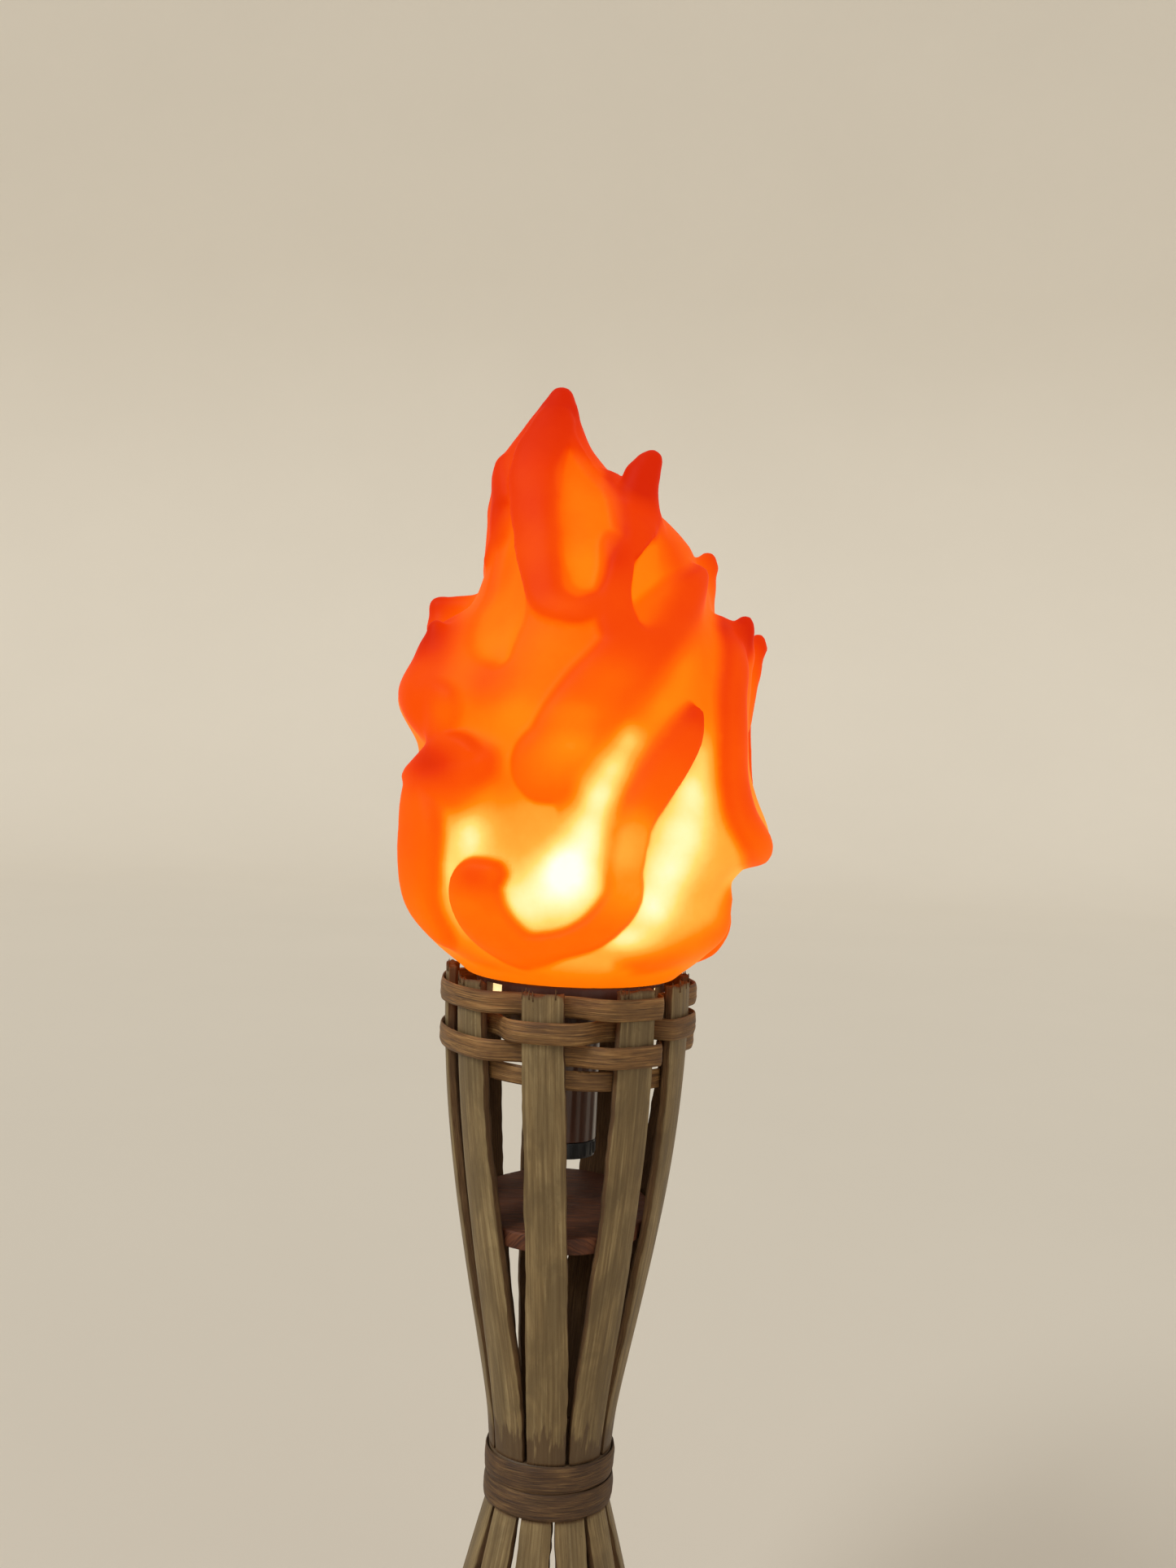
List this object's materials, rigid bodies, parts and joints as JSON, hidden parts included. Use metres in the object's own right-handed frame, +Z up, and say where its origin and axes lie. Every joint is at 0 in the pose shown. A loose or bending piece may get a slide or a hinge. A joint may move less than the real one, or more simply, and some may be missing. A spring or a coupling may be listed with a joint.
{
  "type": "tiki torch",
  "caption": "Tabletop bamboo torch: hourglass stand of split strips with woven rim, hanging battery lamp and lift-off glowing flame shade.",
  "frame": {"origin": "on the floor at the centre of the foot", "axes": "+Z up the stand's axis, front towards -Y, +X to the right seen from the front"},
  "size_m": [0.1512, 0.1429, 0.59],
  "materials": {
    "bamboo": "weathered split bamboo, dull waxy skin with grey-brown stains",
    "cane": "flat woven cane, dry and slightly shiny on the ridge",
    "rattan": "split rattan binding, dull",
    "spreader_wood": "stained wood disc, satin",
    "plate_plastic": "dark brown moulded plastic",
    "tube_plastic": "glossy dark brown tube",
    "black_plastic": "fine-grained black plastic",
    "frosted_plastic": "frosted light diffuser, lit",
    "led_lens": "warm white light source",
    "screw_steel": "zinc plated",
    "circuit_board": "solder-masked board",
    "wire_jacket": "wire insulation",
    "cell_jacket": "plain shrink sleeve over a steel can",
    "spring_steel": "nickel plated spring wire",
    "seal_rubber": "matt rubber ring",
    "switch_plastic": "moulded plastic",
    "button_rubber": "soft rubber boot",
    "flame_vinyl": "translucent satin vinyl, lit from inside",
    "ring_plastic": "dark moulded ring"
  },
  "bodies": {
    "stand": {"waist_ring": "bamboo", "basket_strip_1": "bamboo", "basket_strip_2": "bamboo", "basket_strip_3": "bamboo", "basket_strip_4": "bamboo", "basket_strip_5": "bamboo", "basket_strip_6": "bamboo", "basket_strip_7": "bamboo", "basket_strip_8": "bamboo", "basket_strip_9": "bamboo", "foot_strip_1": "bamboo", "foot_strip_2": "bamboo", "foot_strip_3": "bamboo", "foot_strip_4": "bamboo", "foot_strip_5": "bamboo", "foot_strip_6": "bamboo", "foot_strip_7": "bamboo", "foot_strip_8": "bamboo", "foot_strip_9": "bamboo", "foot_strip_10": "bamboo", "foot_strip_11": "bamboo", "rim_weaver_1": "cane", "rim_weaver_2": "cane", "rim_weaver_3": "cane", "foot_weaver_1": "cane", "foot_weaver_2": "cane", "waist_binding": "rattan", "basket_spreader": "spreader_wood", "foot_spreader": "spreader_wood"},
    "lamp": {"mount_plate": "plate_plastic", "battery_tube": "tube_plastic", "lamp_stem": "black_plastic", "light_collar": "frosted_plastic", "plate_screws": "screw_steel", "led_board": "circuit_board", "led_emitter": "led_lens", "diffuser_bulb": "frosted_plastic", "lead_wires": "wire_jacket", "contact_board": "circuit_board", "cell_1": "cell_jacket", "cell_2": "cell_jacket", "cell_3": "cell_jacket", "cell_cage": "black_plastic"},
    "tail_cap": {"tail_cap": "black_plastic", "cap_seal": "seal_rubber", "switch_body": "switch_plastic", "contact_spring": "spring_steel"},
    "button": {"push_button": "button_rubber"},
    "shade": {"flame_shade": "flame_vinyl", "shade_ring": "ring_plastic"}
  },
  "joints": [
    {"name": "lamp_lift", "type": "slide", "parent": "stand", "child": "lamp", "axis": [0, 0, 1], "range_m": [0, 0.1]},
    {"name": "shade_lift", "type": "slide", "parent": "lamp", "child": "shade", "axis": [0, 0, 1], "range_m": [0, 0.09]},
    {"name": "cap_twist", "type": "hinge", "parent": "lamp", "child": "tail_cap", "pos_m": [0, 0, 0.283], "axis": [0, 0, 1], "range_deg": [0, 90]},
    {"name": "button_press", "type": "slide", "parent": "tail_cap", "child": "button", "axis": [0, 0, 1], "range_m": [0, 0.0008], "stiffness_N_per_m": 300, "springref_m": -0.001}
  ]
}
